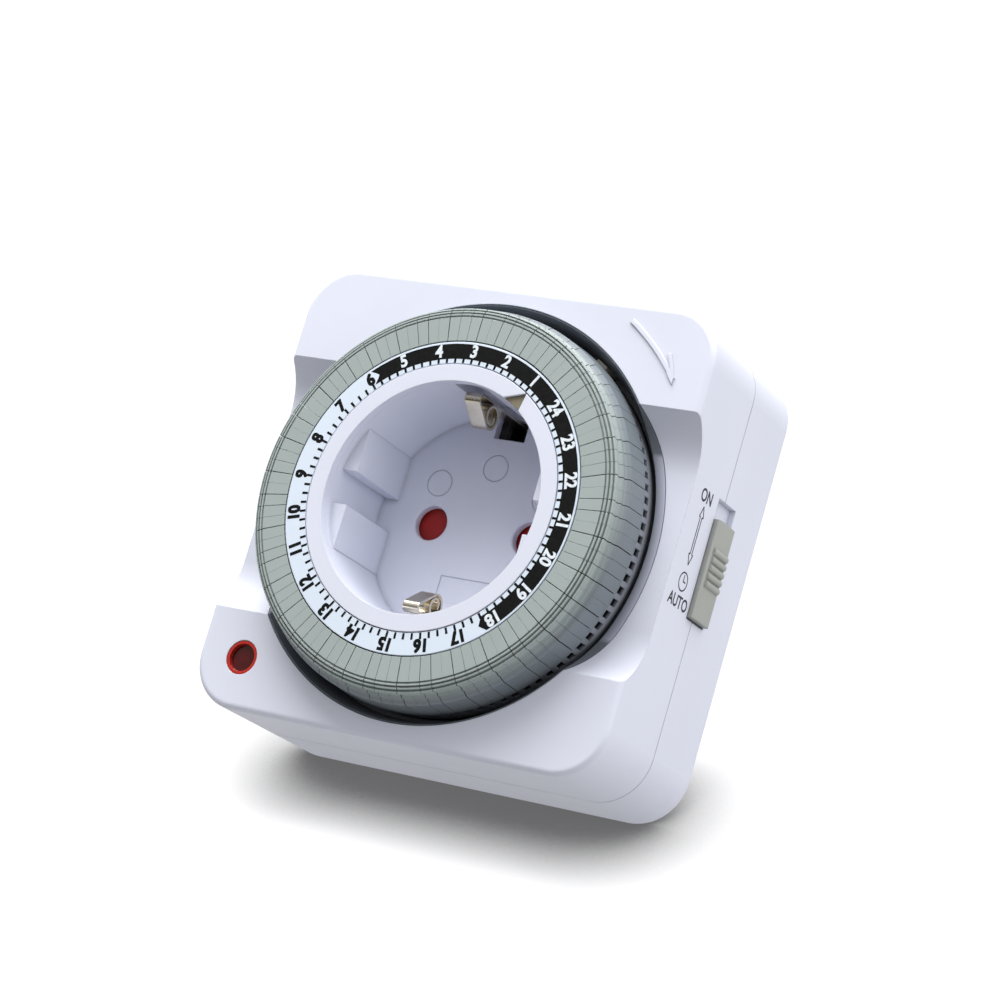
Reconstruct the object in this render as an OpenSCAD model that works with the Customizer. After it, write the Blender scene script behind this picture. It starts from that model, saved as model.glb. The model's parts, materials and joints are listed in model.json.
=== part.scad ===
// Plug-in 24-hour socket timer with 96 push-in tappets.
// Local build frame: x right, y up, z out of the wall towards the user, zero on the rear face.
// The whole assembly is stood up at the end so that +Z is up and the dial faces -Y.

/* [Housing] */
// Width and height of the square housing
body_w = 78.4; // [78.2:0.1:80]
// Radius of the housing's four corners
body_r = 8.8; // [8.4:0.1:9.6]
// Depth from the wall face to the front face
front_z = 32.7; // [32.5:0.1:33]
// Height of the parting line between the two shells
seam_z = 15.8; // [15.6:0.1:16]
// Wall thickness of the shells
wall = 1.8; // [1.6:0.1:1.9]
// Rounding of the front edge
front_round = 1; // [0.6:0.1:1.4]
// Rounding of the rear edge
rear_round = 1.5; // [1:0.1:1.8]
// Half length of the flat band beside the dial
band_half = 13.5; // [13:0.1:14]
// Height of the flat band beside the dial
band_z = 28; // [27.9:0.1:28.2]
// Radius of the concave ramps up to the corner blocks
ramp_r = 10.9; // [10.5:0.1:11.3]
// Radius of the round opening for the dial
dial_hole_r = 36.15; // [36.12:0.01:36.2]

/* [Plug side] */
// Radius of the round plug body behind the wall face
plug_r = 19; // [18.8:0.1:19.2]
// Length of the round plug body
plug_len = 17.5; // [17:0.1:17.9]
// Radius of the two plug pins
pin_r = 2.4; // [2.38:0.01:2.4]
// Free length of the plug pins
pin_len = 19; // [18.5:0.1:19.5]
// Distance from the axis to each pin
pin_x = 9.5; // [9.45:0.01:9.55]

/* [Socket] */
// Inner radius of the socket well
well_r = 19.84; // [19.8:0.01:19.9]
// Height of the well's floor
well_floor = 22.2; // [22.1:0.1:22.3]
// Radius of the pin holes in the well's floor
pin_hole_r = 3; // [2.9:0.05:3.1]
// Half distance between the guide faces at the sides of the well
guide_x = 16.8; // [16.7:0.05:17]

/* [Dial] */
// Radius of the bearing on the outside of the well
hub_r = 22.4; // [22.38:0.01:22.42]
// Height of the dial's front plane
dial_z = 40; // [39.9:0.1:40.1]
// Angle left open between two tappets
tappet_gap = 0.18; // [0.16:0.02:0.4]
// Angle of the first hour's mark
hour_one = 59.4; // [59:0.1:60]
// Angle of the tappets' joints past the quarter-hour marks
tappet_lead = 0.75; // [0.5:0.05:1]

/* [Gear train] */
// Module of the dial's gear
dial_module = 0.6; // [0.6]
// Module of the reduction gears
train_module = 0.4; // [0.4]
// Reduction of tooth thickness for backlash
backlash = 0.1; // [0.08:0.01:0.14]

/* [Override switch] */
// Travel of the side slider
slider_travel = 3.2; // [3:0.1:3.2]
// Height of the slider above the side wall
slider_proud = 1.1; // [0.9:0.1:1.6]

/* [Indicator] */
// Radius of the lamp lens
lens_r = 2.9; // [2.8:0.05:2.95]

/* [Hidden] */
// facet counts of large and of small round parts
FINE = 180;
SMALL = 32;

TAPPETS = 96;
PER_GROUP = 4;
PITCH = 360 / TAPPETS;
first_joint = hour_one + tappet_lead;

side_x = body_w / 2;
side_inner = side_x - wall;
inner_w = body_w - 2 * wall;
inner_r = body_r - wall;
collar_r = dial_hole_r + 1.25;
ledge_r = 34.5;
ledge_z = 24.2;
plug_floor = 1.6 - plug_len;
well_top = 38.6;
plate_lo = 17;
plate_hi = 18.6;
post_at = [24.5, 34.2];
plate_screw_at = [17, 17];
lens_at = [-30.7, -30.4];
spring_angle = 60;
// hole that clears the sleeve of a socket contact
sleeve_clear_r = 3.34;
// the earth clips stand a little to the right of the axis
clip_x = 0.55;

// trigger: angle of its nose on the dial, and its pivot
nose_angle = 59;
lever_x = 30.5;
lever_z = 25.5;
pivot_boss_r = 2.2;

// tooth counts: each early stage has a wheel and a pinion
DIAL_TEETH = 96;
LAST_PINION = 12;
THIRD_WHEEL = 48;
EARLY_WHEEL = 40;
EARLY_PINION = 16;

// directions of the centre lines, from the dial down the train
third_line = 142;
second_line = -95;
first_line = -88;
motor_line = -86;

function polar(radius, angle) = radius * [cos(angle), sin(angle)];
function centres(teeth, size) = teeth * size / 2;
early_centres = centres(EARLY_WHEEL + EARLY_PINION, train_module);
third_at = polar(centres(DIAL_TEETH + LAST_PINION, dial_module), third_line);
second_at = third_at + polar(centres(THIRD_WHEEL + EARLY_PINION, train_module), second_line);
first_at = second_at + polar(early_centres, first_line);
motor_at = first_at + polar(early_centres, motor_line);

// angle of the next gear's first tooth, from the phase of this gear and their centre line
function mesh(phase, teeth, line, next_teeth) =
  line + 180 - (0.5 - (line - phase) * teeth / 360) * 360 / next_teeth;
dial_phase = 0;
third_phase = mesh(dial_phase, DIAL_TEETH, third_line, LAST_PINION);
second_phase = mesh(third_phase, THIRD_WHEEL, second_line, EARLY_PINION);
first_phase = mesh(second_phase, EARLY_WHEEL, first_line, EARLY_PINION);
motor_phase = mesh(first_phase, EARLY_WHEEL, motor_line, EARLY_PINION);

brass = [0.8, 0.65, 0.3];
pin_metal = [0.8, 0.78, 0.72];
steel = [0.75, 0.76, 0.78];
screw_steel = [0.78, 0.78, 0.8];
gear_white = [0.92, 0.92, 0.9];

// ---------- shared shapes ----------
// ranges: one flipped to the given side of zero, and one centred on a value
function span(side, range) = side > 0 ? range : [-range[1], -range[0]];
function about(centre, reach) = [centre - reach, centre + reach];

// block given by its x, y and z ranges
module box(x, y, z)
  translate([x[0], y[0], z[0]]) cube([x[1] - x[0], y[1] - y[0], z[1] - z[0]]);

module rod(radius, low, high, facets = 48)
  translate([0, 0, low]) cylinder(r = radius, h = high - low, $fn = facets);

module ring(inner, outer, low, high, facets = FINE) difference() {
  rod(outer, low, high, facets);
  rod(inner, low - 1, high + 1, facets);
}

module at(place) translate([place[0], place[1], 0]) children();
module four_corners(place)
  for (x = [-1, 1], y = [-1, 1]) at([x * place[0], y * place[1]]) children();
module posts() four_corners(post_at) children();

// round bar along y on the trigger's pivot line
module pivot_rod(radius, y, length, facets = SMALL)
  translate([lever_x, y, lever_z]) rotate([-90, 0, 0])
    cylinder(r = radius, h = length, $fn = facets);

// outline of a half section with a rounded foot and a rounded head
rim_steps = 5;
function rim_pts(radius, low, high, foot, head) = concat(
  [[0, low]],
  foot > 0
    ? [for (i = [0:rim_steps]) let (a = 90 * i / rim_steps)
        [radius - foot + foot * sin(a), low + foot - foot * cos(a)]]
    : [[radius, low]],
  head > 0
    ? [for (i = [0:rim_steps]) let (a = 90 * i / rim_steps)
        [radius - head + head * cos(a), high - head + head * sin(a)]]
    : [[radius, high]],
  [[0, high]]);
function mirrored(pts) =
  concat(pts, [for (i = [len(pts) - 2:-1:1]) [-pts[i][0], pts[i][1]]]);

// square block with rounded corners and rounded foot and head edges
module rounded_block(width, corner, low, high, foot = 0, head = 0) {
  reach = width / 2;
  for (turn = [0, 90]) rotate([90, 0, turn])
    linear_extrude(height = width - 2 * corner, center = true)
      polygon(mirrored(rim_pts(reach, low, high, foot, head)));
  for (i = [0:3]) rotate([0, 0, 90 * i]) translate([reach - corner, reach - corner, 0])
    rotate_extrude(angle = 90, $fn = 96) polygon(rim_pts(corner, low, high, foot, head));
}

// the trough that runs across the front between the two pairs of corner blocks
module band_cut(z, grow) {
  box([-50, 50], [-band_half, band_half], [z - grow, z - grow + 30]);
  for (side = [-1, 1]) translate([0, side * band_half, z + ramp_r]) rotate([0, 90, 0])
    cylinder(r = ramp_r + grow, h = 100, center = true, $fn = FINE);
}

// involute gear; addendum and dedendum are in modules, size is the module
pressure = 20;
addendum = 0.85;
dedendum = 1.15;
function involute(angle) = tan(angle) - angle * PI / 180;
// half the angle a tooth takes up at a radius
function half_tooth(radius, pitch_r, size) = let (
    base_r = pitch_r * cos(pressure),
    angle = acos(base_r / max(radius, base_r + 0.0001)))
  ((size * PI / 2 - backlash) / (2 * pitch_r) + involute(pressure) - involute(angle))
    * 180 / PI;
// radii of a flank's points from root to tip; flank adds two between them
function flank_radii(pitch_r, size, flank) = let (
    root = pitch_r - dedendum * size,
    base_r = pitch_r * cos(pressure))
  concat(
    [root],
    flank ? [base_r > root ? base_r + 0.005 : root + dedendum * size / 2, pitch_r] : [],
    [pitch_r + addendum * size]);
function gear_pts(count, size, flank) = let (
    pitch_r = count * size / 2,
    radii = flank_radii(pitch_r, size, flank),
    last = len(radii) - 1)
  [for (k = [0:count - 1]) each concat(
    [for (i = [0:last])
      polar(radii[i], 360 * k / count - half_tooth(radii[i], pitch_r, size))],
    [for (i = [last:-1:0])
      polar(radii[i], 360 * k / count + half_tooth(radii[i], pitch_r, size))])];
module gear(count, size, low, high, phase, flank = true)
  translate([0, 0, low]) rotate([0, 0, phase]) linear_extrude(height = high - low)
    polygon(gear_pts(count, size, flank));

// ---------- housing ----------
thumb_end = 9.5; // upper end of the slider's thumb piece

// shallow trough for the thumb piece, with a narrower slot through it that it always covers
module slider_slot() {
  box([side_x - 1.1, side_x + 1], [-7.5, thumb_end + slider_travel + 0.25], [11.3, 18.1]);
  box([side_inner - 1, side_x], [-3.3, 3.25 + slider_travel], [12.6, 16.8]);
}

module front_shell() difference() {
  rounded_block(body_w, body_r, seam_z, front_z, 0, front_round);
  band_cut(band_z, 0);
  difference() {
    rounded_block(inner_w, inner_r, seam_z - 1, front_z - wall);
    band_cut(band_z, wall);
  }
}

// collar round the dial opening, and the ledge that carries the guard ring
module dial_collar() {
  difference() {
    ring(dial_hole_r, collar_r, 24, band_z - 0.5);
    at(third_at) rod(5, 20, 23.95);
  }
  difference() {
    ring(dial_hole_r, collar_r, band_z - 1, front_z - 0.5);
    band_cut(band_z - 0.9, 0);
  }
  difference() {
    ring(ledge_r, collar_r, 22.6, ledge_z);
    at(third_at) rod(5, 20, 26);
  }
}

// raised turning arrow on the upper right block; the head's columns are radius, angle
ARROW_HEAD = [[42.2, 38.6], [43.1, 39.9], [44.55, 44.9], [43.9, 45.4], [43.0, 41.6],
  [42.25, 41.6]];
module turning_arrow() {
  foot = front_z - 0.1;
  top = front_z + 0.3;
  rotate([0, 0, 39.6]) rotate_extrude(angle = 18.1, $fn = FINE)
    polygon([[42.25, foot], [43.15, foot], [43.05, top], [42.35, top]]);
  translate([0, 0, foot]) linear_extrude(height = 0.4)
    polygon([for (p = ARROW_HEAD) polar(p[0], p[1])]);
}

module front_housing() color([0.89, 0.89, 0.95]) difference() {
  union() {
    front_shell();
    dial_collar();
    posts() rod(2.8, plate_hi, front_z - 1);
    turning_arrow();
  }
  rod(dial_hole_r, ledge_z, 40, FINE);
  rod(ledge_r, 15, 40, FINE);
  at(lens_at) rod(lens_r + 0.05, 28, 40);
  posts() rod(1.22, plate_hi - 1, 28, SMALL);
  slider_slot();
}

// outer shell with a lip at the seam
module rear_shell() difference() {
  union() {
    rounded_block(body_w, body_r, 0, seam_z - 0.14, rear_round, 0);
    rounded_block(body_w - 0.5, body_r - 0.25, seam_z - 0.6, seam_z);
  }
  rounded_block(inner_w, inner_r, 2, seam_z + 1);
}

// hollow of the plug body, narrower behind the guide grooves and the earth contacts
module plug_hollow() difference() {
  rod(17.2, plug_floor, 3, FINE);
  for (side = [-1, 1]) {
    box(span(side, [14.6, 20]), [-12.7, 12.7], [-20, 2]);
    box([-5.8, 5.8], span(side, [15.6, 20]), [-20, 2]);
  }
}

// side guide grooves, earth contact recesses and pin holes
module plug_cuts() for (side = [-1, 1]) {
  for (end = [-1, 1]) box(span(side, [16.4, 21]), span(end, [2.6, 10.9]), [-30, 0]);
  box([-3.3, 3.3], span(side, [18.25, 21]), [-30, 0]);
  box([-3.1, 3.1], span(side, [18.25, 18.95]), [-1, 3]);
  at([side * pin_x, 0]) rod(2.12, -20, 0);
}

module rear_housing() color([0.88, 0.88, 0.94]) difference() {
  union() {
    rear_shell();
    // round plug body
    rotate_extrude($fn = FINE) polygon(rim_pts(plug_r, -plug_len, 1, 1, 0));
    // posts for the housing screws
    posts() {
      rod(3.6, 1, seam_z - 0.6);
      rod(3.1, 1, plate_lo);
    }
    // seat ring for the motor
    at(motor_at) ring(11.08, 11.6, 1.5, 3.2, 96);
  }
  plug_hollow();
  plug_cuts();
  posts() {
    rod(2.8, -1, 2.3);
    rod(1.4, -1, 18, SMALL);
  }
  slider_slot();
}

// ---------- socket ----------
// centres of the three fine rings marked in the well's floor
FLOOR_RINGS = [[-0.3, 11], [-10, 7], [10.4, 7]];

module guide_block(side, end) intersection() {
  box(span(side, [guide_x, 21]), span(end, [2.9, 10.4]), [well_floor - 0.5, 37]);
  rod(well_r + 0.5, well_floor - 1, 40, FINE);
}

module socket_well() color([0.9, 0.9, 0.95]) difference() {
  union() {
    difference() {
      union() {
        rod(hub_r, plate_hi, well_top, FINE);
        rod(25.5, plate_hi, 20.6, FINE);
      }
      rod(well_r, well_floor, 50, FINE);
      rod(20.4, plate_hi - 1, 20.6, FINE);
    }
    for (side = [-1, 1], end = [-1, 1]) guide_block(side, end);
    rod(2, plate_hi, 21);
  }
  for (side = [-1, 1]) {
    // pin hole with a chamfered mouth
    at([side * pin_x, 0]) {
      rod(pin_hole_r, 15, 30);
      translate([0, 0, well_floor - 0.22])
        cylinder(r1 = pin_hole_r, r2 = pin_hole_r + 0.3, h = 0.3, $fn = 48);
    }
    // recess in the wall for the earth clip, open through the floor
    box(about(clip_x, 3.05), span(side, [16.1, 21.8]), [well_floor, 45]);
    box(about(clip_x, 2.95), span(side, [16.1, 19.8]), [15, 30]);
  }
  four_corners(plate_screw_at) rod(0.72, 15, 20.3, SMALL);
  // blank moulding marks: three fine rings and a plain sunk panel
  for (place = FLOOR_RINGS) at(place) ring(2.2, 2.36, well_floor - 0.12, well_floor + 1, 64);
  box([-4.6, 5.6], [-13, -8.45], [well_floor - 0.14, well_floor + 1]);
}

// the well's front ring, with the pointer let into its face
ring_top = 40.1;
pointer_z = well_top + 0.3;

module pointer_shape(low, high, gap)
  translate([0, 0, low]) linear_extrude(height = high - low)
    polygon([[7.0 + gap, 17.9 + gap / 2], [11.3, 15.6 + gap], [12.05 - gap, 19.35 - gap]]);

module index_ring() color([0.95, 0.95, 0.99]) difference() {
  ring(well_r, 22.7, well_top, ring_top);
  pointer_shape(pointer_z, 45, 0);
}

module time_pointer() color([0.6, 0.53, 0.4]) intersection() {
  pointer_shape(pointer_z, ring_top - 0.45, 0.05);
  ring(well_r + 0.02, 22.65, 30, 45);
}

// ---------- movement ----------
axle_r = 0.75;
axle_hole_r = axle_r + 0.01;
ear_width = 1.2;

module movement_plate() color([0.8, 0.8, 0.82]) difference() {
  union() {
    rounded_block(73, 6.6, plate_lo, plate_hi);
    // ears for the trigger's axle
    for (y = [25.4, 31.6]) {
      box(about(lever_x, pivot_boss_r), [y, y + ear_width], [plate_hi - 0.5, lever_z]);
      pivot_rod(pivot_boss_r, y, ear_width, 48);
    }
  }
  posts() rod(1.4, 15, 20, SMALL);
  four_corners(plate_screw_at) rod(0.8, 15, 20, SMALL);
  for (side = [-1, 1]) {
    at([side * pin_x, 0]) rod(sleeve_clear_r, 15, 20);
    box(about(clip_x, 2.85), span(side, [16.3, 19.7]), [15, 20]);
  }
  // room for the side slider and the trigger's finger
  box([34.6, 40], [-14, 18], [15, 20]);
  box([18.2, 22.8], [27.2, 31], [15, 20]);
  // room for the lamp leads, the shutter spring's tail and the third gear's hub
  at(lens_at) rod(2.4, 15, 20);
  rotate([0, 0, spring_angle]) box([4.9, 5.9], [-0.3, 0.7], [15, 20]);
  at(third_at) rod(1.8, 15, 20);
  for (place = [second_at, first_at]) at(place) rod(axle_hole_r, 15, 20, SMALL);
  pivot_rod(1.01, 20, 20);
}

guard_r = 36.05;
guard_lip_z = front_z - 0.15;
module guard_ring() color([0.2, 0.21, 0.25]) difference() {
  union() {
    ring(33.3, guard_r, ledge_z, 25.4);
    rotate_extrude($fn = FINE) polygon([[34.45, 25], [guard_r, 25], [guard_r, guard_lip_z],
      [guard_r - 0.2, guard_lip_z], [34.45, 28.1]]);
  }
  band_cut(band_z + 0.05, 0);
  // notch for the trigger's nose
  rotate([0, 0, nose_angle]) box([33, 34.86], [-2.1, 2.1], [24, 25.6]);
}

// ---------- dial ----------
drum_bore = hub_r + 0.05;
scale_seat = 39.2;

// half section of the drum: radius, height
DRUM_PROFILE = [[drum_bore, 24.5], [33, 24.5], [33, 26.6], [33.45, 27.2], [33.45, 31.2],
  [32.1, 31.2], [32.1, 26], [29.4, 26], [29.4, 36.2], [28.4, 36.2], [28.4, 26], [24, 26],
  [24, 37.8], [26.65, 37.8], [26.65, scale_seat], [22.85, scale_seat], [22.85, 38.45],
  [drum_bore, 38.45]];

module dial_drum() color([0.2, 0.22, 0.25]) difference() {
  union() {
    rotate_extrude($fn = FINE) polygon(DRUM_PROFILE);
    difference() {
      gear(DIAL_TEETH, dial_module, 22, 24.6, dial_phase, false);
      rod(drum_bore, 20, 26, FINE);
    }
  }
  // comb of openings, one under each tappet
  for (i = [0:TAPPETS - 1]) rotate([0, 0, first_joint + PITCH * (i + 0.5)])
    box([31.5, 34], [-0.62, 0.62], [28.6, 32]);
}

module scale_ring() color([0.92, 0.95, 0.98]) ring(22.87, 26.62, scale_seat, dial_z);

// section of a tappet: radius, height; stepped crown, outer skirt, inner leg
TAPPET_PROFILE = [
  [26.85, dial_z], [30.95, dial_z], [31.02, 39.72], [31.2, 39.72], [31.26, 39.95],
  [31.55, 39.95], [31.62, 39.52], [31.8, 39.52], [31.86, 39.78], [32.12, 39.74],
  [32.2, 39.25], [32.38, 39.25], [32.44, 39.48], [32.68, 39.4], [32.75, 38.95],
  [32.6, 38.75], [32.6, 37.95], [33.05, 37.6], [33.05, 36.95], [33.6, 36.4],
  [33.78, 36], [34, 31.3], [33.55, 31.3], [33.4, 35], [32.4, 36.6], [31.9, 38.1],
  [31.2, 38.5], [28.3, 38.4], [28.3, 33], [26.85, 33]];

module tappet(angle) rotate([0, 0, angle + tappet_gap / 2])
  rotate_extrude(angle = PITCH - tappet_gap, $fn = FINE) polygon(TAPPET_PROFILE);

// small uneven shift of each tappet, in degrees
function jitter(index) = 0.07 * sin(index * 137.5);

// one hour's tappets; the second group starts at the first joint
module tappets(group) color([0.68, 0.72, 0.7]) for (i = [0:PER_GROUP - 1])
  tappet(first_joint + PITCH * (PER_GROUP * (group - 2) + i) + jitter(group * PER_GROUP + i));

// ---------- gear train ----------
gear_bore_r = 0.8;
bridge_z = 10.4;
bridge_top = bridge_z + 1.2;

module gear_third() color(gear_white) difference() {
  at(third_at) union() {
    gear(THIRD_WHEEL, train_module, 14.8, 15.8, third_phase);
    rod(1.6, 14.6, 24);
    gear(LAST_PINION, dial_module, 21.8, 23.85, third_phase);
  }
  at(third_at) rod(gear_bore_r, 10, 30, SMALL);
}

module early_gear(place, z, phase) color(gear_white) difference() {
  at(place) union() {
    gear(EARLY_WHEEL, train_module, z, z + 1, phase);
    gear(EARLY_PINION, train_module, z + 0.9, z + 2.5, phase);
    rod(1.3, z - 0.2, z + 1);
  }
  at(place) rod(gear_bore_r, 5, 30, SMALL);
}
module gear_second() early_gear(second_at, 13.4, second_phase);
module gear_first() early_gear(first_at, 12, first_phase);

module motor_pinion() color([0.75, 0.65, 0.35]) at(motor_at) {
  gear(EARLY_PINION, train_module, 11.8, 13.2, motor_phase);
  rod(0.7, 8, 12);
}

module motor_body() color([0.7, 0.7, 0.72]) at(motor_at) difference() {
  union() {
    rod(11, 2, 9.3, 96);
    rod(3.4, 9.2, 9.9);
    for (angle = [40, 220]) rotate([0, 0, angle]) at([8.2, 0]) rod(1, 9.2, 9.8, SMALL);
  }
  rod(0.75, 7.8, 12, SMALL);
}

// three axles, the second and third with a spacing collar on the bridge
module gear_axles() color(steel) {
  for (axle = [[first_at, plate_hi], [second_at, plate_hi], [third_at, 24.1]])
    at(axle[0]) rod(axle_r, bridge_z, axle[1], SMALL);
  for (collar = [[second_at, 13.1], [third_at, 14.5]])
    at(collar[0]) rod(1.1, bridge_top, collar[1], SMALL);
}

BRIDGE_OUTLINE = [[-36.2, 31], [-31, 32], [-13.4, 17.6], [-13.4, -11.4], [-33, -26],
  [-36.2, -24]];
BRIDGE_PILLARS = [[-14.9, 14.4], [-14.9, -10.4], [-34, 28.6], [-34.2, -22.6]];
module gear_bridge() color([0.8, 0.68, 0.4]) difference() {
  union() {
    translate([0, 0, bridge_z]) linear_extrude(height = bridge_top - bridge_z)
      polygon(BRIDGE_OUTLINE);
    for (place = BRIDGE_PILLARS) at(place) rod(1.3, 11, plate_lo, SMALL);
  }
  for (place = [first_at, second_at, third_at]) at(place) rod(axle_hole_r, 9, 11.7, SMALL);
  at(motor_at) rod(1.6, 9, 15, SMALL);
}

// ---------- current path ----------
// heights of the strips at the plug pins and at the socket contacts
plug_strip_z = [-8.95, -8.35];
socket_strip_z = [8, 8.6];

// the switch contacts meet here; the blade is centred on the same y
contact_at = [23, 29.1];
blade_y = contact_at[1];
blade_z = 12.85;

// pin with a rounded tip, a neck through the plug's end wall and a flange inside it
module plug_pin(side) color(pin_metal) at([side * pin_x, 0]) {
  tip_z = -plug_len - pin_len;
  tip_flat = 0.9;
  tip_round = 1.5;
  rotate_extrude($fn = 64) polygon(concat(
    [for (i = [0:6]) [tip_flat + (pin_r - tip_flat) * sin(15 * i),
      tip_z + tip_round - tip_round * cos(15 * i)]],
    [[pin_r, -plug_len], [2.1, -plug_len], [2.1, plug_floor], [3.3, plug_floor],
      [3.3, plug_floor + 1], [1.8, plug_floor + 1], [1.8, -9], [0, -9], [0, tip_z]]));
}
module live_plug_pin() plug_pin(1);
module neutral_plug_pin() plug_pin(-1);

module plug_earth_contacts() color([0.82, 0.8, 0.75]) for (side = [-1, 1])
  box([-3, 3], span(side, [18.3, 18.9]), [-15.2, 6]);

// springy strip that rises beside the well, folds over and rolls into a coil
clip_width = 2.9;
clip_half_thick = 0.21;
fold_r = 0.825;
fold_end = 146;
coil_z = 31.78;
// the coil tightens after its first full turn
function coil_r(angle) = 1.9 - (angle > 360 ? (angle - 360) * 1.15 / 290 : 0);
// centre line as y, z; inset moves its upper part towards the axis
function clip_path(inset) = concat(
  [[19.175, 2.8], [19.175, 14], [19.175 - inset, 18.5], [19.175 - inset, 24]],
  [for (a = [0:fold_end / 8:fold_end]) [18.35 - inset, 36] + polar(fold_r, a)],
  [for (a = [fold_end:12:650]) [16.8 - inset, coil_z] + polar(coil_r(a), a)]);
// point i of a path moved sideways by shift
function beside(path, i, shift) = let (
    before = path[max(i - 1, 0)],
    after = path[min(i + 1, len(path) - 1)],
    along = (after - before) / norm(after - before))
  path[i] + shift * [-along[1], along[0]];
module earth_clip(side, inset)
  mirror([0, side > 0 ? 0 : 1, 0]) translate([clip_x - clip_width / 2, 0, 0])
    rotate([90, 0, 90]) let (path = clip_path(inset), last = len(path) - 1)
      linear_extrude(height = clip_width) polygon(concat(
        [for (i = [0:last]) beside(path, i, clip_half_thick)],
        [for (i = [last:-1:0]) beside(path, i, -clip_half_thick)]));
module earth_clips() color([0.78, 0.72, 0.6]) {
  earth_clip(1, 0);
  earth_clip(-1, 0.9);
}

// sleeve slit along its outward side
module socket_contact(side) color(brass) difference() {
  at([side * pin_x, 0]) ring(2.45, 3.3, 8, 19, 48);
  box(span(side, [pin_x + 2, pin_x + 4]), [-0.4, 0.4], [7, 20]);
}
module live_socket_contact() socket_contact(1);
module neutral_socket_contact() socket_contact(-1);

// strip bent up from the live pin and along to the fixed contact
module live_inlet_strip() color(brass) {
  pin_end_x = [7.5, 10.5];
  contact_end_y = [27.6, 30.4];
  run_z = [2.7, 3.3];
  box(pin_end_x, [-2, 13], plug_strip_z);
  box(pin_end_x, [12.4, 13], [plug_strip_z[0], run_z[1]]);
  box(pin_end_x, [12.4, 30.4], run_z);
  box([7.5, 25.2], contact_end_y, run_z);
  box([24.6, 25.2], contact_end_y, [run_z[0], 9.9]);
  box([21.4, 25.2], contact_end_y, [9.3, 9.9]);
  at(contact_at) rod(1.3, 9.8, 10.68, SMALL);
}

module blade_terminal() color(brass) difference() {
  union() {
    box([4.6, 7.92], [27.5, 30.7], [8, 13.8]);
    box([5, 7.9], [3.2, 29], socket_strip_z);
  }
  // step cut so that the strip lies clear of the socket sleeve
  at([pin_x, 0]) rod(sleeve_clear_r, 7, 10);
}

module contact_blade() color([0.82, 0.6, 0.4]) {
  box([8.05, 24.6], about(blade_y, 1.2), about(blade_z, 0.2));
  at(contact_at) rod(1.2, 11.9, blade_z - 0.1, SMALL);
}

module neutral_link() color(brass) {
  link_x = [-10.5, -7.5];
  box(link_x, [-13, 2], plug_strip_z);
  box(link_x, [-13, -12.4], [plug_strip_z[0], socket_strip_z[1]]);
  box(link_x, [-13, -3.33], socket_strip_z);
}

// ---------- shutter ----------
module pin_shutter() color([0.62, 0.07, 0.05]) difference() {
  union() {
    rod(13.2, 19.25, 20.35, 96);
    rod(4, 18.86, 19.4);
  }
  rod(2.05, 15, 25);
  for (angle = [38, 218]) rotate([0, 0, angle]) at([pin_x, 0]) rod(2.95, 15, 25);
}

// bowed spring under the shutter, with a tail at one end turned down through the plate
module shutter_spring() color(steel) {
  rotate([0, 0, spring_angle]) rotate_extrude(angle = 235, $fn = 64)
    translate([5.2, 18.75]) square([0.4, 0.45]);
  rotate([0, 0, spring_angle]) box([5.2, 5.6], [0, 0.4], [17.2, 19.2]);
}

// ---------- switch ----------
module trigger_lever() color([0.85, 0.85, 0.8]) difference() {
  union() {
    pivot_rod(pivot_boss_r, 26.8, 4.6, 48);
    // upright, arm, and finger down to the blade
    box(about(lever_x, 2), [27.6, 30.6], [20, lever_z]);
    box([16.9, lever_x + 1], [27.8, 30.4], [20, 22.1]);
    box([19.2, 20.8], [27.9, 30.3], [13.12, 21]);
    // nose
    intersection() {
      ring(33.6, 34.4, 21, 29.15);
      rotate([0, 0, nose_angle]) box([30, 37], [-1.2, 1.2], [20, 30]);
    }
    // foot that joins the nose to the arm
    intersection() {
      ring(33.6, 36.5, 20, 22.1);
      rotate([0, 0, nose_angle]) box([30, 37], [-2.4, 1.6], [20, 30]);
    }
  }
  pivot_rod(1.05, 20, 20);
}
module trigger_axle() color(steel) pivot_rod(1, 25.2, 7.8);

module override_slider() color([0.66, 0.67, 0.62]) {
  top = side_x + slider_proud;
  foot = side_x - 1;
  edge = 0.35;
  flange_x = [side_inner - 1.5, side_inner - 0.1];
  // guide flange behind the wall and the neck through the slot
  box(flange_x, [-10.2, 14.6], [10.4, 19]);
  box([side_inner - 0.5, side_x - 0.5], [-3, 3], [12.85, 16.55]);
  // thumb piece with bevelled edges, and its grip ribs
  translate([0, thumb_end, 0]) rotate([90, 0, 0]) linear_extrude(height = 16.7)
    polygon([[foot, 11.5], [top - edge, 11.5], [top, 11.5 + edge], [top, 17.9 - edge],
      [top - edge, 17.9], [foot, 17.9]]);
  for (i = [0:4]) at([top - 0.15, -1.05 + 1.35 * i]) rod(0.62, 12.1, 17.3, SMALL);
  // arm that reaches for the trigger
  box(flange_x, [13, 24], [20, 23]);
  box(flange_x, [13, 14.6], [12, 23]);
}

// ---------- indicator ----------
module indicator_lens() color([0.6, 0.05, 0.04]) at(lens_at) difference() {
  union() {
    rod(lens_r, 29.6, front_z - 0.1);
    rod(lens_r + 0.9, 29.6, front_z - wall - 0.05);
  }
  rod(lens_r - 0.55, front_z - 0.75, 40);
}

module neon_lamp() color([0.9, 0.75, 0.6]) at(lens_at) {
  bulb_r = 1.9;
  bulb_top = 27.2;
  rod(bulb_r, 21, bulb_top);
  translate([0, 0, bulb_top]) intersection() {
    sphere(r = bulb_r, $fn = 48);
    rod(3, 0, 3);
  }
  for (side = [-1, 1]) at([0.9 * side, 0]) rod(0.25, 14.9, 21.2, 16);
}

// body and lead wire, lying along x
module lamp_resistor() color([0.75, 0.65, 0.5])
  translate([lens_at[0], lens_at[1], 13.4]) rotate([0, 90, 0]) {
    rod(1.1, -3, 3, SMALL);
    rod(0.25, -4.5, 4.5, 16);
  }

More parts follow.
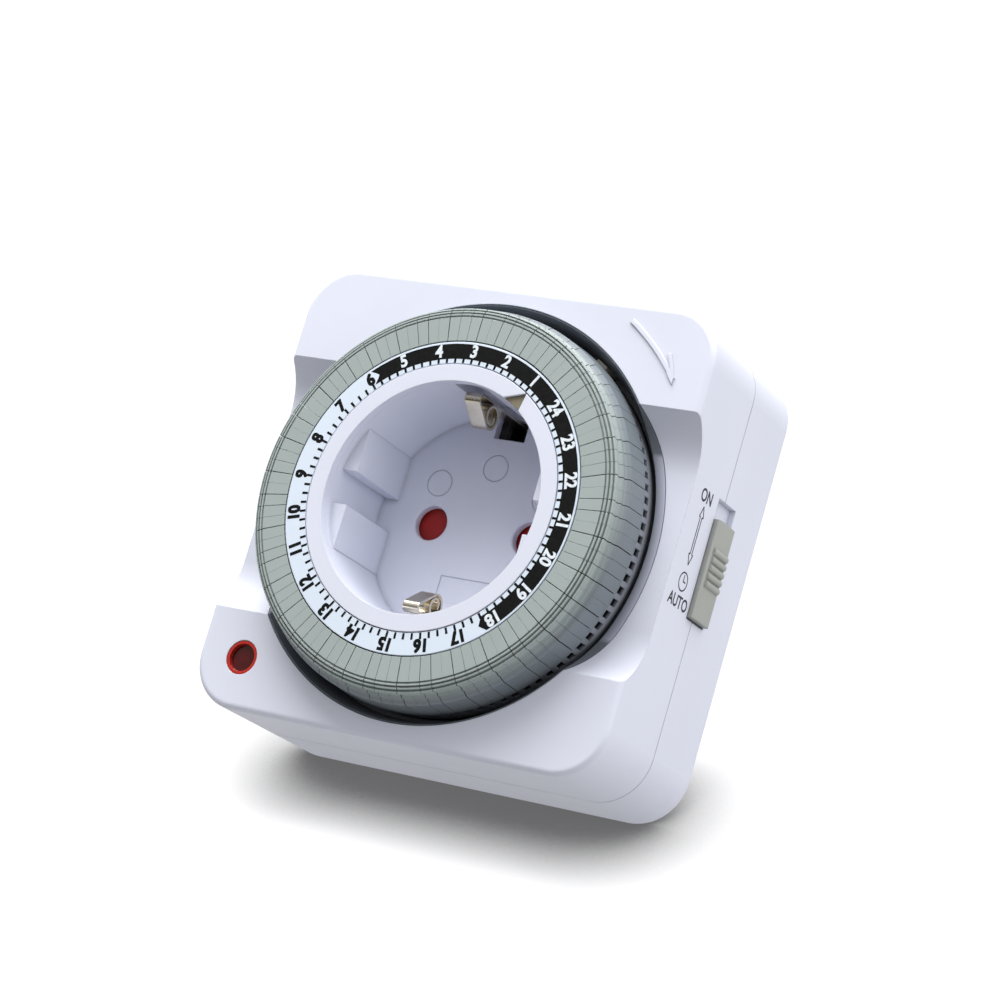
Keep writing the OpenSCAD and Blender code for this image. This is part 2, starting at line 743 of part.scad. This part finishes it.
// ---------- fasteners ----------
// cross-slotted screw with its head at the low end
module screw(shank_r, head_r, low, head_top, high) difference() {
  union() {
    rod(shank_r, low, high, SMALL);
    rod(head_r, low, head_top);
  }
  for (turn = [0, 90]) rotate([0, 0, turn])
    box(about(0, head_r * 0.6), about(0, head_r * 0.12), [low - 1, low + head_r * 0.35]);
}
module housing_screws() color(screw_steel) posts() screw(1.2, 2.6, 0.5, 2.3, 27);
module plate_screws() color(screw_steel)
  four_corners(plate_screw_at) screw(0.7, 1.3, 16, 17, 20.2);

// ---------- assembly ----------
module stand() rotate([90, 0, 0]) children();

stand() front_housing();
stand() rear_housing();
stand() socket_well();
stand() index_ring();
stand() time_pointer();
stand() movement_plate();
stand() guard_ring();
stand() dial_drum();
stand() scale_ring();
stand() tappets(1);  // tappets_01
stand() tappets(2);  // tappets_02
stand() tappets(3);  // tappets_03
stand() tappets(4);  // tappets_04
stand() tappets(5);  // tappets_05
stand() tappets(6);  // tappets_06
stand() tappets(7);  // tappets_07
stand() tappets(8);  // tappets_08
stand() tappets(9);  // tappets_09
stand() tappets(10);  // tappets_10
stand() tappets(11);  // tappets_11
stand() tappets(12);  // tappets_12
stand() tappets(13);  // tappets_13
stand() tappets(14);  // tappets_14
stand() tappets(15);  // tappets_15
stand() tappets(16);  // tappets_16
stand() tappets(17);  // tappets_17
stand() tappets(18);  // tappets_18
stand() tappets(19);  // tappets_19
stand() tappets(20);  // tappets_20
stand() tappets(21);  // tappets_21
stand() tappets(22);  // tappets_22
stand() tappets(23);  // tappets_23
stand() tappets(24);  // tappets_24
stand() gear_third();
stand() gear_second();
stand() gear_first();
stand() motor_pinion();
stand() motor_body();
stand() gear_axles();
stand() gear_bridge();
stand() live_plug_pin();
stand() neutral_plug_pin();
stand() plug_earth_contacts();
stand() earth_clips();
stand() live_socket_contact();
stand() neutral_socket_contact();
stand() live_inlet_strip();
stand() blade_terminal();
stand() contact_blade();
stand() neutral_link();
stand() pin_shutter();
stand() shutter_spring();
stand() trigger_lever();
stand() trigger_axle();
stand() override_slider();
stand() indicator_lens();
stand() neon_lamp();
stand() lamp_resistor();
stand() housing_screws();
stand() plate_screws();
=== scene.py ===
# A 24-hour dial timer with a ring of tappets, a slider on its right side and a red lens. Row
# frame, metres: x right, z up, -y out of the wall, with the dial's axis along y. Prints are drawn
# in local millimetres: x right, y up, z out of the wall.
import bpy, bmesh, math, json
from mathutils import Matrix, Vector


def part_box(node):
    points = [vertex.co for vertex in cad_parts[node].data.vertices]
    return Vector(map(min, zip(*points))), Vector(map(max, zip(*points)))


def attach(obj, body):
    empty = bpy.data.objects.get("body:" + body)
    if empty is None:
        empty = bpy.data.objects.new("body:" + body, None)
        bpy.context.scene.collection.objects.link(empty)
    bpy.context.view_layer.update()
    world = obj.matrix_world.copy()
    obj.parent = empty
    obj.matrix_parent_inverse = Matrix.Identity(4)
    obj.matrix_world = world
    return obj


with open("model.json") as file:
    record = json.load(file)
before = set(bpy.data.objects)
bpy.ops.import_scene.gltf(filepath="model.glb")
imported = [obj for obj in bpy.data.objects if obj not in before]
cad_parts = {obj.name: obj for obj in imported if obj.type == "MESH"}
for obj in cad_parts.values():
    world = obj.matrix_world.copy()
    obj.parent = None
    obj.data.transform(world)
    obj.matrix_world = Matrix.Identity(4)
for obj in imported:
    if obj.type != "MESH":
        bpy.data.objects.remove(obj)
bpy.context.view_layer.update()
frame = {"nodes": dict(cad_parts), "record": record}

# local millimetres to the row frame
STAND = Matrix.Rotation(math.radians(90), 4, "X") @ Matrix.Scale(0.001, 4)
SHARP_ANGLE = 28         # degrees between faces that stay a hard edge

# dial print: radii and heights in mm, angles in degrees counter-clockwise from +x
HOURS = 24
HOUR_1_ANGLE = 59.4
HOUR_STEP = 360 / HOURS
MARKS_PER_HOUR = 4
DIAL_FACE = 40.0         # height of the scale ring's face
THICK_INK = 0.02         # night band and slider print
THIN_INK = 0.018         # marks and figures
NIGHT_FIRST, NIGHT_LAST = 18, 5
BAND_INNER, BAND_OUTER = 23.66, 26.27
BAND_STEPS = 150
MARK_INNER, MARK_OUTER = 22.93, 24.0
MARK_HALF_WIDTH = 0.2    # along the arc, taken at MARK_WIDTH_RADIUS
MARK_WIDTH_RADIUS = 23.4
MARK_SEGMENTS = 2
FIGURE_RADIUS = 25.1
FIGURE_SIZE = 2.95
LETTER_WIDTH = 0.9       # sideways scale of all lettering

# slider print on the right wall, mm
SLIDER_HEIGHT = 22.5     # distance out of the wall of the print's centre line
ARROW_STROKE = 0.23
CLOCK_STROKE = 0.24
CLOCK_Y = -2.7
CLOCK_RADIUS = 1.5
CLOCK_SIDES = 28


# ------------------------------------------------------------------ shader helpers
class Shader:
    """Builds nodes in one tree; an input is given a socket to link or a plain value."""

    def __init__(self, tree, coordinates="Object"):
        self.tree = tree
        self.co = self.node("TexCoord").outputs[coordinates]

    def feed(self, node, inputs):
        for key, value in inputs.items():
            socket = node.inputs[key]
            if isinstance(value, bpy.types.NodeSocket):
                self.tree.links.new(value, socket)
            else:
                socket.default_value = (*value, 1) if socket.type == "RGBA" else value

    def node(self, kind, inputs=None, **settings):
        made = self.tree.nodes.new("ShaderNode" + kind)
        for key, value in settings.items():
            setattr(made, key, value)
        self.feed(made, inputs or {})
        return made

    def noise(self, scale, detail, roughness=0.55):
        inputs = {"Scale": scale, "Detail": detail, "Roughness": roughness, "Vector": self.co}
        return self.node("TexNoise", inputs).outputs["Fac"]

    def remap(self, value, span, to=(0, 1)):
        inputs = {"Value": value, "From Min": span[0], "From Max": span[1],
                  "To Min": to[0], "To Max": to[1]}
        return self.node("MapRange", inputs).outputs["Result"]

    def mix(self, factor, first, second):
        return self.node("Mix", {0: factor, 6: first, 7: second}, data_type="RGBA").outputs[2]

    def calc(self, operation, a, b=0):
        return self.node("Math", {0: a, 1: b}, operation=operation).outputs[0]

    def dot(self, a, b):
        return self.node("VectorMath", {0: a, 1: b}, operation="DOT_PRODUCT").outputs["Value"]

    def xyz(self):
        return self.node("SeparateXYZ", {0: self.co}).outputs

    def radius(self, centre=(0.0, 0.0)):
        """distance in x and z from a line along y"""
        axes = self.xyz()
        dx = self.calc("SUBTRACT", axes[0], centre[0])
        dz = self.calc("SUBTRACT", axes[2], centre[1])
        squares = [self.calc("MULTIPLY", d, d) for d in (dx, dz)]
        return self.calc("SQRT", self.calc("ADD", *squares))

    def bevel(self, radius, samples=4):
        return self.node("Bevel", {"Radius": radius}, samples=samples).outputs[0]

    def occlusion(self, distance, samples):
        made = self.node("AmbientOcclusion", {"Distance": distance}, samples=samples)
        return made.outputs["AO"]

    def bump(self, height, strength, distance, normal=None):
        made = self.node("Bump", {"Strength": strength, "Distance": distance, "Height": height})
        if normal:
            self.feed(made, {"Normal": normal})
        return made.outputs[0]


def principled(name):
    """a shader whose material holds one Principled surface"""
    material = bpy.data.materials.new(name)
    material.use_nodes = True
    material.node_tree.nodes.clear()
    s = Shader(material.node_tree)
    s.material = material
    s.surface = s.node("BsdfPrincipled")
    s.output = s.node("OutputMaterial", {0: s.surface.outputs[0]})
    return s


def srgb(*channels):
    """linear colour from 0..255 sRGB channels"""
    def linear(v):
        return v / 12.92 if v <= 0.04045 else ((v + 0.055) / 1.055) ** 2.4
    return tuple(linear(c / 255) for c in channels)


def shade(colour, factor, lift=0):
    return tuple(min(1, c * factor + lift) for c in colour)


# ------------------------------------------------------------------ materials
MID_NOISE = (0.3, 0.7)   # the part of a noise's range that carries most of its variation


def plastic(name, colour, roughness=0.38, mottle=0.05, tint=None, grain=0.25, bevel=0.00022,
            crevice=0.35, crevice_reach=0.0012, edge=0.0, mask=None, vary=0.0):
    """moulded plastic; mask is (mask function, colour), vary darkens pieces at random"""
    s = principled(name)
    broad = s.noise(scale=45, detail=3)
    middle = s.noise(scale=420, detail=5)
    fine = s.noise(scale=5200, detail=2, roughness=0.5)
    base = s.mix(s.remap(broad, span=MID_NOISE),
                 shade(colour, 1 - mottle), shade(colour, 1 + mottle * 0.6))
    if tint:
        base = s.mix(s.remap(middle, span=(0.45, 0.75), to=(0, 0.35)), base, tint)
    # fine speckle of the moulded surface
    speckle = s.noise(scale=9000, detail=1, roughness=0.5)
    base = s.mix(s.remap(speckle, span=(0.62, 0.8), to=(0, 0.10)), base, shade(colour, 0.82))
    if mask:
        covers, cover_colour = mask
        base = s.mix(covers(s), base, cover_colour)
    if vary:
        random = s.node("ObjectInfo").outputs["Random"]
        base = s.mix(s.remap(random, span=(0, 1), to=(0, vary)), base, shade(colour, 0.5))
    rounded = s.bevel(radius=bevel)
    if edge:
        # painted highlight: convex edges are painted lighter where the rounded normal leaves the
        # true one
        agree = s.dot(rounded, s.node("NewGeometry").outputs["True Normal"])
        base = s.mix(s.remap(agree, span=(0.99, 0.86), to=(0, edge)),
                     base, shade(colour, 1.5, lift=0.1))
    # painted shade: the colour is darkened where ambient occlusion finds nearby surfaces, in
    # creases, recesses and between parts
    hidden = s.occlusion(distance=crevice_reach, samples=3)
    base = s.mix(s.remap(hidden, span=(0.35, 0.95), to=(crevice, 0)), base, shade(colour, 0.35))
    grained = s.bump(fine, strength=grain, distance=0.00002, normal=rounded)
    # slow waviness of a moulded wall
    wavy = s.bump(broad, strength=0.12, distance=0.0002, normal=grained)
    s.feed(s.surface, {
        "Base Color": base,
        "Roughness": s.remap(middle, span=MID_NOISE, to=(roughness * 0.86, roughness * 1.16)),
        "Metallic": 0.0,
        "IOR": 1.46,
        "Normal": wavy})
    return s.material


def metal(name, colour, roughness, tarnish=None):
    s = principled(name)
    s.co = s.node("Mapping", {"Vector": s.co}).outputs[0]
    broad = s.noise(scale=240, detail=5)
    fine = s.noise(scale=4200, detail=3)
    base = s.mix(s.remap(broad, span=MID_NOISE), shade(colour, 1 - 0.12), colour)
    if tarnish:
        base = s.mix(s.remap(broad, span=(0.5, 0.72), to=(0, 0.6)), base, tarnish)
    rounded = s.bevel(radius=0.00012, samples=6)
    s.feed(s.surface, {
        "Base Color": base,
        "Metallic": 1,
        "Roughness": s.remap(fine, span=MID_NOISE, to=(roughness * 0.7, roughness * 1.4)),
        "Normal": s.bump(fine, strength=0.35, distance=0.00001, normal=rounded)})
    return s.material


def lens_red():
    """translucent red lens whose rim is painted lighter for the light glowing through it"""
    s = principled("lens_red_clear")
    base = s.mix(s.remap(s.noise(scale=500, detail=3), span=MID_NOISE),
                 srgb(70, 4, 3), srgb(92, 7, 5))
    from_centre = s.radius(centre=(-0.0307, -0.0304))
    # painted light: the rim is painted bright red for the light that glows through it
    base = s.mix(s.remap(from_centre, span=(0.00222, 0.0024)), base, srgb(196, 44, 30))
    s.feed(s.surface, {
        "Base Color": base,
        "Roughness": 0.16,
        "Transmission Weight": 0.06,
        "Coat Weight": 0.15,
        "IOR": 1.4,
        "Normal": s.bump(s.noise(scale=1800, detail=2), strength=0.3, distance=0.00003,
                         normal=s.bevel(radius=0.0002))})
    return s.material


def lamp_glass():
    s = principled("lamp_glass_clear")
    s.feed(s.surface, {
        "Base Color": s.mix(s.noise(scale=300, detail=2), (0.95, 0.85, 0.75), (0.8, 0.7, 0.6)),
        "Transmission Weight": 0.8,
        "Roughness": 0.05})
    return s.material


def ink(name, colour, roughness):
    s = principled(name)
    s.feed(s.surface, {
        "Specular IOR Level": 0.14,
        "Base Color": s.mix(s.remap(s.noise(scale=1500, detail=4), span=(0.35, 0.7)),
                            shade(colour, 0.85), shade(colour, 1.1, lift=0.004)),
        "Roughness": s.remap(s.noise(scale=900, detail=3), span=MID_NOISE,
                             to=(roughness * 0.8, roughness * 1.2)),
        "Normal": s.bump(s.noise(scale=6000, detail=2), strength=0.2, distance=0.00001)})
    return s.material


def outside(start, full):
    """mask that rises from 0 to 1 between two radii about the dial's axis, in metres"""
    return lambda s: s.remap(s.radius(), span=(start, full))


def rim_mask(s):
    # painted reflection: the guard ring's flat rim beside the band is painted lighter towards its
    # outer edge
    low = s.remap(s.xyz()[1], span=(-0.02835, -0.0282))
    return s.calc("MULTIPLY", low, s.remap(s.radius(), span=(0.0344, 0.0358), to=(0.15, 1.0)))


# crevice sets the painted shade in creases and recesses, edge the painted highlight on convex
# edges
MATERIALS = {
    "housing_white": plastic("housing_white_moulding", srgb(226, 229, 243), roughness=0.34,
                             mottle=0.02, crevice=0.3),
    "well_white": plastic("well_white_moulding", srgb(224, 227, 241), roughness=0.36,
                          mottle=0.02),
    "charcoal": plastic("charcoal_moulding", srgb(44, 47, 54), roughness=0.34, mottle=0.10,
                        crevice=0.5, grain=0.4),
    "drum": plastic("drum_moulding", srgb(50, 54, 61), roughness=0.4, mottle=0.10,
                    crevice=0.4, grain=0.4,
                    mask=(outside(start=0.0328, full=0.0332), srgb(150, 154, 164))),
    "guard": plastic("guard_moulding", srgb(110, 116, 125), mottle=0.10, crevice=0.3,
                     grain=0.3, mask=(rim_mask, srgb(182, 185, 202))),
    "scale_pale": plastic("scale_pale_print_base", srgb(222, 233, 247), roughness=0.4,
                          mottle=0.02, crevice=0.1),
    # painted shade: the crown's stepped side is painted darker and bluer than its top; edge
    # paints highlights on its ridges and crevice paints shade between them
    "tappet_grey": plastic("tappet_grey_moulding", srgb(166, 177, 175), roughness=0.36,
                           crevice=0.6, crevice_reach=0.0008, grain=0.4, bevel=0.00008,
                           edge=0.35, vary=0.06,
                           mask=(outside(start=0.0326, full=0.0334), srgb(122, 130, 137))),
    "slider_grey": plastic("slider_grey_moulding", srgb(168, 171, 165), roughness=0.42,
                           crevice=0.4, grain=0.35, bevel=0.0003, edge=0.15),
    "gear_nylon": plastic("gear_nylon", srgb(226, 222, 208), roughness=0.4),
    "plate_grey": plastic("plate_grey_moulding", srgb(120, 122, 126), roughness=0.45,
                          mottle=0.06),
    # painted shade: a strong, wide crevice darkening shades the shutter down in its pin holes
    "shutter_red": plastic("shutter_red_moulding", srgb(188, 20, 12), roughness=0.4,
                           mottle=0.12, crevice=0.85, crevice_reach=0.004),
    "resistor": plastic("resistor_lacquer", srgb(200, 180, 130), roughness=0.3, mottle=0.1),
    "steel": metal("turned_steel", (0.62, 0.62, 0.64), roughness=0.28),
    "zinc": metal("zinc_plate", (0.66, 0.67, 0.7), roughness=0.34, tarnish=(0.5, 0.5, 0.48)),
    "nickel": metal("nickel_plate", (0.76, 0.73, 0.67), roughness=0.16,
                    tarnish=(0.6, 0.55, 0.45)),
    "brass": metal("stamped_brass", (0.8, 0.6, 0.28), roughness=0.28,
                   tarnish=(0.5, 0.36, 0.16)),
    "bronze": metal("spring_bronze", (0.75, 0.5, 0.3), roughness=0.28,
                    tarnish=(0.4, 0.25, 0.14)),
    "clip_metal": metal("clip_nickel", (0.72, 0.66, 0.54), roughness=0.2,
                        tarnish=(0.42, 0.33, 0.2)),
    "pointer_tan": plastic("pointer_tan", srgb(140, 130, 108), roughness=0.5, mottle=0.1,
                           tint=srgb(110, 102, 84), crevice=0.5),
    "lens_red": lens_red(),
    "lamp_glass": lamp_glass(),
}
INK_BLACK = ink("ink_black", srgb(9, 11, 10), roughness=0.42)
INK_PALE = ink("ink_pale", srgb(232, 240, 250), roughness=0.45)
INK_GREY = ink("ink_grey", srgb(58, 60, 68), roughness=0.5)


def dress_cad_pieces():
    slots = {part["node"]: part["material_slot"] for part in frame["record"]["subparts"]}
    slots.update(dial_drum="drum", guard_ring="guard")
    for name, piece in frame["nodes"].items():
        mesh = piece.data
        mesh.materials.clear()
        mesh.materials.append(MATERIALS[slots[name]])
        for face in mesh.polygons:
            face.use_smooth = True
        mesh.set_sharp_from_angle(angle=math.radians(SHARP_ANGLE))


# ------------------------------------------------------------------ print helpers
def link(name, data):
    made = bpy.data.objects.new(name, data)
    bpy.context.scene.collection.objects.link(made)
    return made


def add_print(name, bm, material, body):
    """turn a drawing in local mm into an object that rides on a body"""
    mesh = bpy.data.meshes.new(name)
    bmesh.ops.transform(bm, matrix=STAND, verts=bm.verts)
    bmesh.ops.recalc_face_normals(bm, faces=bm.faces)
    bm.to_mesh(mesh)
    bm.free()
    made = link(name, mesh)
    mesh.materials.append(material)
    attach(made, body)


def polar(radius, angle):
    return radius * math.cos(math.radians(angle)), radius * math.sin(math.radians(angle))


def hour_angle(hour):
    return HOUR_1_ANGLE + (hour - 1) * HOUR_STEP


def prism(bm, low, high):
    """closed solid between two matching outlines"""
    low = [bm.verts.new(p) for p in low]
    high = [bm.verts.new(p) for p in high]
    bm.faces.new(low[::-1])
    bm.faces.new(high)
    for i in range(len(low)):
        j = (i + 1) % len(low)
        bm.faces.new((low[i], low[j], high[j], high[i]))


def ring_sector(bm, inner, outer, start, stop, bottom, top, segments):
    corners = ((inner, bottom), (outer, bottom), (outer, top), (inner, top))
    sections = []
    for i in range(segments + 1):
        angle = start + (stop - start) * i / segments
        sections.append([bm.verts.new((*polar(r, angle), z)) for r, z in corners])
    for this, after in zip(sections, sections[1:]):
        for k in range(4):
            j = (k + 1) % 4
            bm.faces.new((this[k], this[j], after[j], after[k]))
    bm.faces.new(sections[0])
    bm.faces.new(sections[-1][::-1])


def lettering(bm, text, size, place, depth, bold):
    """add solid text, centred and lying in z 0..depth before place is applied"""
    curve = bpy.data.curves.new("text", "FONT")
    curve.body = text
    curve.size = size
    curve.offset = bold
    curve.extrude = depth / 2
    curve.resolution_u = 5
    holder = link("text", curve)
    depsgraph = bpy.context.evaluated_depsgraph_get()
    mesh = bpy.data.meshes.new_from_object(holder.evaluated_get(depsgraph))
    xs = [v.co.x for v in mesh.vertices]
    ys = [v.co.y for v in mesh.vertices]
    centre = Vector(((min(xs) + max(xs)) / 2, (min(ys) + max(ys)) / 2, -depth / 2))
    narrow = Matrix.Diagonal((LETTER_WIDTH, 1, 1, 1))
    mesh.transform(place @ narrow @ Matrix.Translation(-centre))
    welded = bmesh.new()
    welded.from_mesh(mesh)
    bmesh.ops.remove_doubles(welded, verts=welded.verts, dist=size * 0.0008)
    welded.to_mesh(mesh)
    welded.free()
    bm.from_mesh(mesh)
    bpy.data.objects.remove(holder)
    bpy.data.meshes.remove(mesh)
    bpy.data.curves.remove(curve)


# ------------------------------------------------------------------ print on the scale ring
def night_band():
    """dark band from before 18 to just short of 6, pointed at one end and notched at the other"""
    first = hour_angle(NIGHT_FIRST) - 360
    start = first - 3.4
    stop = hour_angle(NIGHT_LAST + 1) - 1.7
    angles = [start + (stop - start) * i / BAND_STEPS for i in range(BAND_STEPS + 1)]
    # radius, degrees past stop
    notch = [(BAND_INNER + 0.05, 0.7), (24.4, -1.4), (24.9, -2.4), (25.4, -1.6),
             (BAND_OUTER, 0.1)]
    outline = [polar(BAND_INNER, a) for a in angles]
    outline += [polar(r, stop + past) for r, past in notch]
    outline += [polar(BAND_OUTER, a) for a in angles[-2::-1]]
    outline.append(polar(25.0, first - 5.7))
    bm = bmesh.new()
    prism(bm, [(x, y, DIAL_FACE) for x, y in outline],
          [(x, y, DIAL_FACE + THICK_INK) for x, y in outline])
    add_print("night_band_print", bm, INK_BLACK, "dial")


def quarter_hour_marks():
    bm = bmesh.new()
    half = math.degrees(MARK_HALF_WIDTH / MARK_WIDTH_RADIUS)
    for i in range(HOURS * MARKS_PER_HOUR):
        angle = HOUR_1_ANGLE + HOUR_STEP / MARKS_PER_HOUR * i
        ring_sector(bm, MARK_INNER, MARK_OUTER, angle - half, angle + half,
                    DIAL_FACE, DIAL_FACE + THIN_INK, MARK_SEGMENTS)
    add_print("quarter_hour_marks", bm, INK_BLACK, "dial")


def hour_figures():
    """pale figures on the night band, black ones on the bare scale"""
    day, night = bmesh.new(), bmesh.new()
    for hour in range(1, HOURS + 1):
        dark = hour >= NIGHT_FIRST or hour <= NIGHT_LAST
        bm, spread, lift = (night, 0.035, THICK_INK) if dark else (day, 0.085, 0.0)
        angle = hour_angle(hour)
        place = (Matrix.Translation((*polar(FIGURE_RADIUS, angle), DIAL_FACE + lift))
                 @ Matrix.Rotation(math.radians(angle - 90), 4, "Z"))
        # the print is heavier than the font: overlapping passes a few hundredths of a mm apart
        for i, (dx, dy) in enumerate(((-1, -0.7), (1, -0.7), (1, 0.7), (-1, 0.7))):
            shift = Matrix.Translation((dx * spread, dy * spread, 0.0012 * i))
            lettering(bm, str(hour), FIGURE_SIZE, place @ shift, depth=THIN_INK, bold=0.075)
    add_print("night_hour_figures", night, INK_PALE, "dial")
    add_print("day_hour_figures", day, INK_BLACK, "dial")


# ------------------------------------------------------------------ print beside the slider
def wall_bar(bm, wall_x, start, end, width):
    """thin bar on the right wall between two (y, height) points"""
    start, end = Vector(start), Vector(end)
    along = (end - start).normalized()
    side = Vector((-along.y, along.x)) * width / 2
    corners = [start - side, end - side, end + side, start + side]
    prism(bm, [(wall_x, c.x, c.y) for c in corners],
          [(wall_x + THICK_INK, c.x, c.y) for c in corners])


def wall_outline(bm, wall_x, points, width):
    for i, point in enumerate(points):
        wall_bar(bm, wall_x, point, points[(i + 1) % len(points)], width)


def slider_print():
    """ON, an outlined double arrow, a clock face and AUTO, from top to bottom"""
    wall_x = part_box("front_housing")[1].x * 1000
    bm = bmesh.new()
    # text lies on the wall and reads towards the wall side: its x runs along -z
    turn = Matrix(((0, 0, 1, 0), (0, 1, 0, 0), (-1, 0, 0, 0), (0, 0, 0, 1)))
    for text, size, y in (("ON", 3.0, 11.7), ("AUTO", 2.85, -6.0)):
        place = Matrix.Translation((wall_x, y, SLIDER_HEIGHT)) @ turn
        lettering(bm, text, size, place, depth=THICK_INK, bold=0.05)
    # double arrow: y, offset from the centre line
    arrow = [(10.0, 0), (8.2, 0.75), (8.2, 0.32), (1.9, 0.32), (1.9, 0.75),
             (0.1, 0), (1.9, -0.75), (1.9, -0.32), (8.2, -0.32), (8.2, -0.75)]
    wall_outline(bm, wall_x, [(y, SLIDER_HEIGHT + d) for y, d in arrow], ARROW_STROKE)
    turns = [2 * math.pi * i / CLOCK_SIDES for i in range(CLOCK_SIDES)]
    face = [(CLOCK_Y + CLOCK_RADIUS * math.sin(t), SLIDER_HEIGHT + CLOCK_RADIUS * math.cos(t))
            for t in turns]
    wall_outline(bm, wall_x, face, CLOCK_STROKE)
    # clock hands: reach in y and in height
    for dy, dh in ((1.1, 0), (0, -0.9)):
        wall_bar(bm, wall_x, (CLOCK_Y, SLIDER_HEIGHT), (CLOCK_Y + dy, SLIDER_HEIGHT + dh),
                 CLOCK_STROKE)
    add_print("slider_position_print", bm, INK_GREY, "housing")


# ------------------------------------------------------------------ floor, light, camera
def floor_material():
    """pale glow with a contact shadow for the camera, a dim bounce for other rays"""
    s = principled("pale_floor")
    camera_ray = s.node("LightPath").outputs["Is Camera Ray"]
    pale = s.mix(s.remap(s.noise(scale=12, detail=3), span=MID_NOISE),
                 (0.90, 0.90, 0.91), (0.93, 0.93, 0.94))
    shadow = s.remap(s.occlusion(distance=0.016, samples=12), span=(0.34, 0.90), to=(0.13, 1.12))
    seen = s.calc("MULTIPLY", camera_ray, shadow)
    # the shadow fades out where the floor is seen edge-on
    view = s.node("NewGeometry").outputs
    facing = s.dot(view["Normal"], view["Incoming"])
    edge_on = s.calc("MULTIPLY", camera_ray, s.remap(facing, span=(0.12, 0.34), to=(1.0, 0.0)))
    seen = s.calc("ADD", seen, edge_on)
    glow = s.calc("MULTIPLY", s.calc("SUBTRACT", 1, camera_ray), 0.52)
    s.feed(s.surface, {
        "Base Color": s.mix(camera_ray, (0.10, 0.10, 0.10), (0.06, 0.06, 0.06)),
        "Roughness": 0.9,
        "Specular IOR Level": 0.0,
        "Emission Color": pale,
        "Emission Strength": s.calc("ADD", seen, glow)})
    # clear from behind
    shown = s.node("MixShader", {
        0: s.node("NewGeometry").outputs["Backfacing"],
        1: s.surface.outputs[0],
        2: s.node("BsdfTransparent").outputs[0]})
    s.feed(s.output, {0: shown.outputs[0]})
    return s.material


def build_floor():
    """tilted square plane behind and below the timer"""
    middle = Vector((0, -0.00044, -0.03876))
    normal = Vector((0, -0.7095, 0.7047)).normalized()
    reach = 6.0
    across = Vector((1, 0, 0))
    along = normal.cross(across).normalized()
    mesh = bpy.data.meshes.new("floor")
    signs = ((-1, -1), (1, -1), (1, 1), (-1, 1))
    mesh.from_pydata([middle + across * a * reach + along * b * reach for a, b in signs],
                     [], [(0, 1, 2, 3)])
    floor = link("floor", mesh)
    mesh.materials.append(floor_material())


def build_world():
    """soft tent: bright overhead, dim below and towards -y; plain white to the camera"""
    world = bpy.data.worlds.new("studio")
    bpy.context.scene.world = world
    world.use_nodes = True
    s = Shader(world.node_tree, coordinates="Generated")
    x, y, z = s.xyz()
    level = s.calc("ADD", s.calc("MULTIPLY", z, 0.80), 0.65)
    level = s.calc("ADD", level, s.calc("MULTIPLY", x, 0.13))
    frontal = s.calc("MAXIMUM", s.calc("MULTIPLY", y, -1), 0)
    level = s.calc("ADD", level, s.calc("MULTIPLY", frontal, -0.26))
    level = s.calc("MAXIMUM", level, 0.03)
    camera_ray = s.node("LightPath").outputs["Is Camera Ray"]
    level = s.calc("MULTIPLY", level, s.calc("SUBTRACT", 1, camera_ray))
    level = s.calc("ADD", level, camera_ray)
    s.feed(world.node_tree.nodes["Background"], {0: (1, 1, 1), 1: level})


def area_light(name, direction, size, power, colour):
    """square light 0.9 m from the timer, aimed at it"""
    target = Vector((0, -0.02, 0))
    light = bpy.data.lights.new(name, "AREA")
    light.energy = power
    light.size = size
    light.color = colour
    lamp = link(name, light)
    lamp.location = target + Vector(direction).normalized() * 0.9
    lamp.rotation_euler = (target - lamp.location).to_track_quat("-Z", "Y").to_euler()


def build_camera():
    data = bpy.data.cameras.new("photo_camera")
    data.sensor_width = 36
    data.lens = 117.432
    data.clip_start = 0.01
    data.clip_end = 50
    camera = link("photo_camera", data)
    right = (0.85339665, 0.44135615, 0.27734256)
    up = (-0.13856936, -0.32082983, 0.93694544)
    back = (0.50250640, -0.83801728, -0.21263666)
    pose = Matrix((right, up, back)).transposed().to_4x4()
    pose.translation = Vector((0.27317, -0.47414, -0.10888))
    camera.matrix_world = pose
    bpy.context.scene.camera = camera


dress_cad_pieces()
night_band()
quarter_hour_marks()
hour_figures()
slider_print()
build_floor()
build_world()
area_light("key_top", direction=(-0.22, -0.42, 0.9), size=0.62, power=9.9,
           colour=(1, 0.995, 0.985))
area_light("fill_right", direction=(0.95, -0.3, 0.25), size=0.6, power=1.6,
           colour=(0.97, 0.98, 1))
build_camera()
bpy.context.scene.view_settings.view_transform = "Standard"
